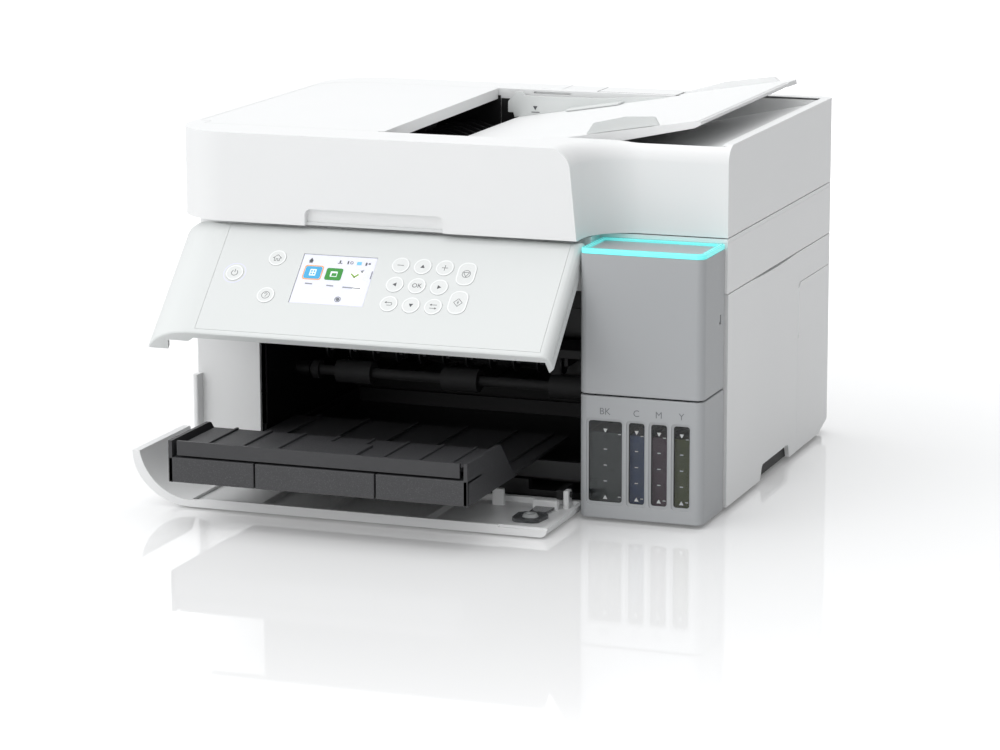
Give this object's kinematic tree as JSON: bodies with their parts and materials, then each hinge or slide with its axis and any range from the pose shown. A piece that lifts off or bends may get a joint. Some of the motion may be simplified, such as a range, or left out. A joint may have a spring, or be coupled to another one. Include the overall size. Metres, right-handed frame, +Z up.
{
  "type": "ink tank printer",
  "caption": "Desktop inkjet printer with side ink tanks, flatbed scanner, document feeder, tilting control panel and slide-out trays, shown open.",
  "frame": {"origin": "on the table, midway along the width and the depth of the open printer", "axes": "+X to the printer's right side as seen from the front, +Y to the back, +Z up"},
  "size_m": [0.375, 0.426, 0.2583],
  "materials": {
    "white_shell": "fine satin",
    "white_trim": "satin",
    "grey_unit": "satin",
    "dark_plastic": "satin",
    "black_plastic": "matte",
    "tray_grey": "fine grain",
    "clear_window": "clear",
    "scan_glass": "clear",
    "tank_clear": "frosted",
    "ink": "wet",
    "ring_cyan": "glossy",
    "steel": "ground",
    "rubber": "matte",
    "roller": "matte",
    "display_screen": "gloss",
    "key_white": "satin",
    "metal_case": "matte"
  },
  "bodies": {
    "chassis": {"base_pan": "dark_plastic", "left_casing": "white_shell", "right_casing": "white_shell", "rear_side_cover": "white_shell", "rear_casing": "white_shell", "paper_bay": "black_plastic", "top_deck": "dark_plastic", "rubber_feet": "rubber", "platen": "black_plastic", "carriage_rod": "steel", "power_supply": "metal_case", "mains_inlet": "black_plastic", "tank_housing": "grey_unit", "tank_windows": "clear_window", "ink_tanks": "tank_clear", "inks": "ink"},
    "rear_cover": {"rear_jam_cover": "white_shell"},
    "tank_cover": {"tank_cover": "grey_unit", "light_ring": "ring_cyan"},
    "feed_roller": {"feed_roller": "roller"},
    "eject_roller": {"eject_roller": "roller"},
    "carriage": {"print_carriage": "dark_plastic"},
    "cassette": {"paper_cassette": "dark_plastic"},
    "cassette_guide": {"cassette_guide": "dark_plastic"},
    "output_tray": {"output_tray": "tray_grey"},
    "tray_extension": {"tray_extension": "tray_grey"},
    "front_cover": {"front_cover": "white_shell"},
    "scanner": {"scanner_base": "white_shell", "scanner_top": "white_shell", "scan_glass": "scan_glass"},
    "scan_bar": {"scan_bar": "black_plastic"},
    "panel": {"panel_frame": "white_trim", "panel_face": "white_trim", "panel_back": "dark_plastic", "display": "display_screen"},
    "lid": {"lid_shell": "white_shell", "lid_base": "white_trim"},
    "feeder_cover": {"feeder_cover": "white_shell"},
    "pick_roller": {"feeder_roller": "rubber"},
    "document_tray": {"document_tray": "white_shell"},
    "guide_rear": {"document_guide_rear": "white_trim"},
    "guide_front": {"document_guide_front": "white_trim"},
    "key_power": {"key_power": "key_white"},
    "key_home": {"key_home": "key_white"},
    "key_help": {"key_help": "key_white"},
    "key_minus": {"key_minus": "key_white"},
    "key_up": {"key_up": "key_white"},
    "key_plus": {"key_plus": "key_white"},
    "key_left": {"key_left": "key_white"},
    "key_ok": {"key_ok": "key_white"},
    "key_right": {"key_right": "key_white"},
    "key_back": {"key_back": "key_white"},
    "key_down": {"key_down": "key_white"},
    "key_swap": {"key_swap": "key_white"},
    "key_stop": {"key_stop": "key_white"},
    "key_start": {"key_start": "key_white"},
    "cap_black": {"tank_cap_black": "dark_plastic"},
    "cap_cyan": {"tank_cap_cyan": "dark_plastic"},
    "cap_magenta": {"tank_cap_magenta": "dark_plastic"},
    "cap_yellow": {"tank_cap_yellow": "dark_plastic"}
  },
  "joints": [
    {"name": "control_panel_tilt", "type": "hinge", "parent": "scanner", "child": "panel", "pos_m": [0, -0.1, 0.17215], "axis": [-1, 0, 0], "range_deg": [-45.5, 0]},
    {"name": "cassette_slide", "type": "slide", "parent": "chassis", "child": "cassette", "axis": [0, -1, 0], "range_m": [0, 0.11]},
    {"name": "document_tray_lift", "type": "hinge", "parent": "lid", "child": "document_tray", "pos_m": [-0.034, 0, 0.2186], "axis": [0, -1, 0], "range_deg": [0, 25]},
    {"name": "document_guide_rear_slide", "type": "slide", "parent": "document_tray", "child": "guide_rear", "axis": [0, -1, 0], "range_m": [0, 0.06]},
    {"name": "document_guide_front_slide", "type": "slide", "parent": "document_tray", "child": "guide_front", "axis": [0, 1, 0], "range_m": [0, 0.06]},
    {"name": "feeder_cover_hinge", "type": "hinge", "parent": "lid", "child": "feeder_cover", "pos_m": [-0.181, 0, 0.2405], "axis": [0, -1, 0], "range_deg": [0, 70]},
    {"name": "front_cover_drop", "type": "hinge", "parent": "chassis", "child": "front_cover", "pos_m": [0, -0.0956, 0.0126], "axis": [1, 0, 0], "range_deg": [-12, 0]},
    {"name": "lid_lift", "type": "hinge", "parent": "scanner", "child": "lid", "pos_m": [0, 0.191, 0.19], "axis": [-1, 0, 0], "range_deg": [0, 60]},
    {"name": "output_tray_slide", "type": "slide", "parent": "chassis", "child": "output_tray", "axis": [0, -1, 0], "range_m": [-0.1, 0]},
    {"name": "print_carriage_slide", "type": "slide", "parent": "chassis", "child": "carriage", "axis": [-1, 0, 0], "range_m": [0, 0.17]},
    {"name": "paper_guide_slide", "type": "slide", "parent": "cassette", "child": "cassette_guide", "axis": [1, 0, 0], "range_m": [0, 0.04]},
    {"name": "rear_cover_pull", "type": "slide", "parent": "chassis", "child": "rear_cover", "axis": [0, 1, 0], "range_m": [0, 0.06]},
    {"name": "roller_feed_spin", "type": "hinge", "parent": "chassis", "child": "feed_roller", "pos_m": [0, 0.075, 0.062], "axis": [1, 0, 0], "continuous": true},
    {"name": "roller_eject_spin", "type": "hinge", "parent": "chassis", "child": "eject_roller", "pos_m": [0, 0.001, 0.062], "axis": [1, 0, 0], "continuous": true},
    {"name": "roller_pick_spin", "type": "hinge", "parent": "lid", "child": "pick_roller", "pos_m": [-0.09, 0, 0.224], "axis": [0, 1, 0], "continuous": true},
    {"name": "scan_bar_slide", "type": "slide", "parent": "scanner", "child": "scan_bar", "axis": [1, 0, 0], "range_m": [0, 0.27]},
    {"name": "scanner_lift", "type": "hinge", "parent": "chassis", "child": "scanner", "pos_m": [0, 0.192, 0.1515], "axis": [-1, 0, 0], "range_deg": [0, 30]},
    {"name": "tank_cover_pull", "type": "slide", "parent": "chassis", "child": "tank_cover", "axis": [0, -1, 0], "range_m": [0, 0.05]},
    {"name": "tray_extension_slide", "type": "slide", "parent": "output_tray", "child": "tray_extension", "axis": [0, -1, 0], "range_m": [0, 0.075]},
    {"name": "tank_cap_black_pull", "type": "slide", "parent": "chassis", "child": "cap_black", "axis": [0, 0, 1], "range_m": [0, 0.012]},
    {"name": "tank_cap_cyan_pull", "type": "slide", "parent": "chassis", "child": "cap_cyan", "axis": [0, 0, 1], "range_m": [0, 0.012]},
    {"name": "tank_cap_magenta_pull", "type": "slide", "parent": "chassis", "child": "cap_magenta", "axis": [0, 0, 1], "range_m": [0, 0.012]},
    {"name": "tank_cap_yellow_pull", "type": "slide", "parent": "chassis", "child": "cap_yellow", "axis": [0, 0, 1], "range_m": [0, 0.012]},
    {"name": "press_key_power", "type": "slide", "parent": "panel", "child": "key_power", "axis": [0, 0.7009, -0.7133], "range_m": [0, 0.0008], "stiffness_N_per_m": 800},
    {"name": "press_key_home", "type": "slide", "parent": "panel", "child": "key_home", "axis": [0, 0.7009, -0.7133], "range_m": [0, 0.0008], "stiffness_N_per_m": 800},
    {"name": "press_key_help", "type": "slide", "parent": "panel", "child": "key_help", "axis": [0, 0.7009, -0.7133], "range_m": [0, 0.0008], "stiffness_N_per_m": 800},
    {"name": "press_key_minus", "type": "slide", "parent": "panel", "child": "key_minus", "axis": [0, 0.7009, -0.7133], "range_m": [0, 0.0008], "stiffness_N_per_m": 800},
    {"name": "press_key_up", "type": "slide", "parent": "panel", "child": "key_up", "axis": [0, 0.7009, -0.7133], "range_m": [0, 0.0008], "stiffness_N_per_m": 800},
    {"name": "press_key_plus", "type": "slide", "parent": "panel", "child": "key_plus", "axis": [0, 0.7009, -0.7133], "range_m": [0, 0.0008], "stiffness_N_per_m": 800},
    {"name": "press_key_left", "type": "slide", "parent": "panel", "child": "key_left", "axis": [0, 0.7009, -0.7133], "range_m": [0, 0.0008], "stiffness_N_per_m": 800},
    {"name": "press_key_ok", "type": "slide", "parent": "panel", "child": "key_ok", "axis": [0, 0.7009, -0.7133], "range_m": [0, 0.0008], "stiffness_N_per_m": 800},
    {"name": "press_key_right", "type": "slide", "parent": "panel", "child": "key_right", "axis": [0, 0.7009, -0.7133], "range_m": [0, 0.0008], "stiffness_N_per_m": 800},
    {"name": "press_key_back", "type": "slide", "parent": "panel", "child": "key_back", "axis": [0, 0.7009, -0.7133], "range_m": [0, 0.0008], "stiffness_N_per_m": 800},
    {"name": "press_key_down", "type": "slide", "parent": "panel", "child": "key_down", "axis": [0, 0.7009, -0.7133], "range_m": [0, 0.0008], "stiffness_N_per_m": 800},
    {"name": "press_key_swap", "type": "slide", "parent": "panel", "child": "key_swap", "axis": [0, 0.7009, -0.7133], "range_m": [0, 0.0008], "stiffness_N_per_m": 800},
    {"name": "press_key_stop", "type": "slide", "parent": "panel", "child": "key_stop", "axis": [0, 0.7009, -0.7133], "range_m": [0, 0.0008], "stiffness_N_per_m": 800},
    {"name": "press_key_start", "type": "slide", "parent": "panel", "child": "key_start", "axis": [0, 0.7009, -0.7133], "range_m": [0, 0.0008], "stiffness_N_per_m": 800}
  ],
  "couplings": [
    {"joint": "roller_eject_spin", "follows": "roller_feed_spin", "ratio": 1.25},
    {"joint": "document_guide_front_slide", "follows": "document_guide_rear_slide", "ratio": 1}
  ]
}
